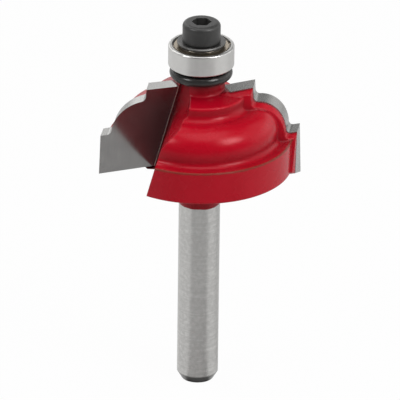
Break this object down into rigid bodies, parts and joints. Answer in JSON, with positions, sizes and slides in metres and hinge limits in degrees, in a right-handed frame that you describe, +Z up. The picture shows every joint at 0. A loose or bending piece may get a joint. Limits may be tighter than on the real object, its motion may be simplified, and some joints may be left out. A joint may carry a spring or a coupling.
{
  "type": "router bit",
  "caption": "Carbide-tipped ogee edge-forming router bit with a shielded ball bearing guide held by a cap screw over a dust collar.",
  "frame": {"origin": "centre of the flat end of the shank", "axes": "+Z up the shank towards the guide bearing; +X and -X run out through the two carbide tips"},
  "size_m": [0.0288, 0.0264, 0.0567],
  "materials": {
    "cutter_steel": "gloss red paint on the head, ground bare steel on the shank",
    "carbide": "diamond-ground tungsten carbide",
    "braze": "silver braze",
    "black_collar": "black oxide, semi-gloss",
    "bearing_steel": "fine ground",
    "shield_steel": "pressed, faintly warm",
    "spring_steel": "bright wire",
    "cage_steel": "pressed ribbon",
    "ball_steel": "polished",
    "washer_steel": "zinc plated",
    "black_screw": "black oxide"
  },
  "bodies": {
    "cutter": {"cutter_body": "cutter_steel", "carbide_tip_1": "carbide", "carbide_tip_2": "carbide", "braze_layer_1": "braze", "braze_layer_2": "braze", "dust_shield": "black_collar", "inner_ring": "bearing_steel", "retaining_washer": "washer_steel", "cap_screw": "black_screw"},
    "bearing_outer": {"outer_ring": "bearing_steel", "lower_shield": "shield_steel", "upper_shield": "shield_steel", "lower_snap_ring": "spring_steel", "upper_snap_ring": "spring_steel"},
    "ball_cage": {"cage_upper": "cage_steel", "cage_lower": "cage_steel"},
    "ball_1_body": {"ball_1": "ball_steel"},
    "ball_2_body": {"ball_2": "ball_steel"},
    "ball_3_body": {"ball_3": "ball_steel"},
    "ball_4_body": {"ball_4": "ball_steel"},
    "ball_5_body": {"ball_5": "ball_steel"},
    "ball_6_body": {"ball_6": "ball_steel"},
    "ball_7_body": {"ball_7": "ball_steel"},
    "ball_8_body": {"ball_8": "ball_steel"}
  },
  "joints": [
    {"name": "guide_bearing_spin", "type": "hinge", "parent": "cutter", "child": "bearing_outer", "pos_m": [0, 0, 0.05164], "axis": [0, 0, 1], "continuous": true},
    {"name": "cage_spin", "type": "hinge", "parent": "cutter", "child": "ball_cage", "pos_m": [0, 0, 0.05164], "axis": [0, 0, 1], "continuous": true},
    {"name": "ball_1_spin", "type": "hinge", "parent": "ball_cage", "child": "ball_1_body", "pos_m": [0.00357, 0, 0.05164], "axis": [0, 0, 1], "continuous": true},
    {"name": "ball_2_spin", "type": "hinge", "parent": "ball_cage", "child": "ball_2_body", "pos_m": [0.00253, 0.00253, 0.05164], "axis": [0, 0, 1], "continuous": true},
    {"name": "ball_3_spin", "type": "hinge", "parent": "ball_cage", "child": "ball_3_body", "pos_m": [0, 0.00357, 0.05164], "axis": [0, 0, 1], "continuous": true},
    {"name": "ball_4_spin", "type": "hinge", "parent": "ball_cage", "child": "ball_4_body", "pos_m": [-0.00253, 0.00253, 0.05164], "axis": [0, 0, 1], "continuous": true},
    {"name": "ball_5_spin", "type": "hinge", "parent": "ball_cage", "child": "ball_5_body", "pos_m": [-0.00357, 0, 0.05164], "axis": [0, 0, 1], "continuous": true},
    {"name": "ball_6_spin", "type": "hinge", "parent": "ball_cage", "child": "ball_6_body", "pos_m": [-0.00253, -0.00253, 0.05164], "axis": [0, 0, 1], "continuous": true},
    {"name": "ball_7_spin", "type": "hinge", "parent": "ball_cage", "child": "ball_7_body", "pos_m": [0, -0.00357, 0.05164], "axis": [0, 0, 1], "continuous": true},
    {"name": "ball_8_spin", "type": "hinge", "parent": "ball_cage", "child": "ball_8_body", "pos_m": [0.00253, -0.00253, 0.05164], "axis": [0, 0, 1], "continuous": true}
  ],
  "couplings": [
    {"joint": "cage_spin", "follows": "guide_bearing_spin", "ratio": 0.61111},
    {"joint": "ball_1_spin", "follows": "guide_bearing_spin", "ratio": 2.1389},
    {"joint": "ball_2_spin", "follows": "guide_bearing_spin", "ratio": 2.1389},
    {"joint": "ball_3_spin", "follows": "guide_bearing_spin", "ratio": 2.1389},
    {"joint": "ball_4_spin", "follows": "guide_bearing_spin", "ratio": 2.1389},
    {"joint": "ball_5_spin", "follows": "guide_bearing_spin", "ratio": 2.1389},
    {"joint": "ball_6_spin", "follows": "guide_bearing_spin", "ratio": 2.1389},
    {"joint": "ball_7_spin", "follows": "guide_bearing_spin", "ratio": 2.1389},
    {"joint": "ball_8_spin", "follows": "guide_bearing_spin", "ratio": 2.1389}
  ]
}
